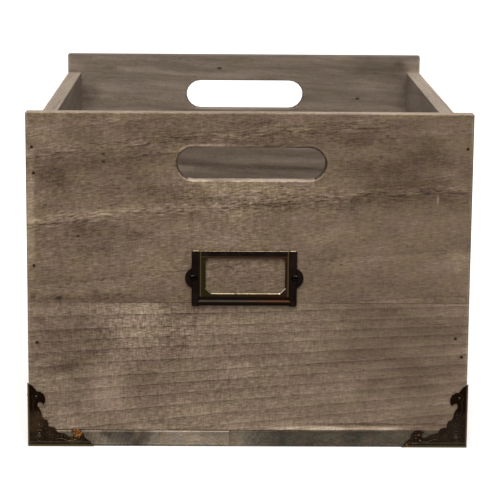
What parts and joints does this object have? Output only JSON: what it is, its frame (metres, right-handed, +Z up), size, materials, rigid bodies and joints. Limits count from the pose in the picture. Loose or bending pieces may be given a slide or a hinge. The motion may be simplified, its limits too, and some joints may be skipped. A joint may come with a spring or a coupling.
{
  "type": "open storage crate",
  "caption": "Open-topped wooden storage crate with hand slots in front and back, metal corners and a card holder on the front.",
  "frame": {"origin": "middle of the crate's footprint, on the floor that the corners stand on", "axes": "+Z up, +Y from the front with the card holder to the back, +X to the right seen from the front"},
  "size_m": [0.3466, 0.4626, 0.2638],
  "materials": {
    "stained_wood": "matte grey-brown stain, worn lighter along the edges",
    "antique_bronze": "dark antique bronze, pressed sheet",
    "antique_brass": "dark antique brass, rubbed",
    "dark_steel": "dull dark steel"
  },
  "bodies": {
    "root": {"bottom_left_board": "stained_wood", "bottom_right_board": "stained_wood", "front_lower_board": "stained_wood", "front_upper_board": "stained_wood", "back_lower_board": "stained_wood", "back_upper_board": "stained_wood", "left_lower_board": "stained_wood", "left_upper_board": "stained_wood", "right_lower_board": "stained_wood", "right_upper_board": "stained_wood", "card_holder": "antique_brass", "card_holder_screw_left": "antique_brass", "card_holder_screw_right": "antique_brass", "corner_front_left": "antique_bronze", "corner_front_right": "antique_bronze", "corner_back_left": "antique_bronze", "corner_back_right": "antique_bronze", "pin_front_left_face_upper": "antique_bronze", "pin_front_left_face_lower": "antique_bronze", "pin_front_left_side_upper": "antique_bronze", "pin_front_left_side_lower": "antique_bronze", "pin_front_right_face_upper": "antique_bronze", "pin_front_right_face_lower": "antique_bronze", "pin_front_right_side_upper": "antique_bronze", "pin_front_right_side_lower": "antique_bronze", "pin_back_left_face_upper": "antique_bronze", "pin_back_left_face_lower": "antique_bronze", "pin_back_left_side_upper": "antique_bronze", "pin_back_left_side_lower": "antique_bronze", "pin_back_right_face_upper": "antique_bronze", "pin_back_right_face_lower": "antique_bronze", "pin_back_right_side_upper": "antique_bronze", "pin_back_right_side_lower": "antique_bronze", "brad_front_left_1": "dark_steel", "brad_front_left_2": "dark_steel", "brad_front_left_3": "dark_steel", "brad_front_left_4": "dark_steel", "brad_front_right_1": "dark_steel", "brad_front_right_2": "dark_steel", "brad_front_right_3": "dark_steel", "brad_back_left_1": "dark_steel", "brad_back_left_2": "dark_steel", "brad_back_left_3": "dark_steel", "brad_back_right_1": "dark_steel", "brad_back_right_2": "dark_steel", "brad_back_right_3": "dark_steel", "brad_under_front_1": "dark_steel", "brad_under_front_2": "dark_steel", "brad_under_front_3": "dark_steel", "brad_under_back_1": "dark_steel", "brad_under_back_2": "dark_steel", "brad_under_back_3": "dark_steel", "brad_under_left_1": "dark_steel", "brad_under_left_2": "dark_steel", "brad_under_left_3": "dark_steel", "brad_under_right_1": "dark_steel", "brad_under_right_2": "dark_steel", "brad_under_right_3": "dark_steel"}
  },
  "joints": []
}
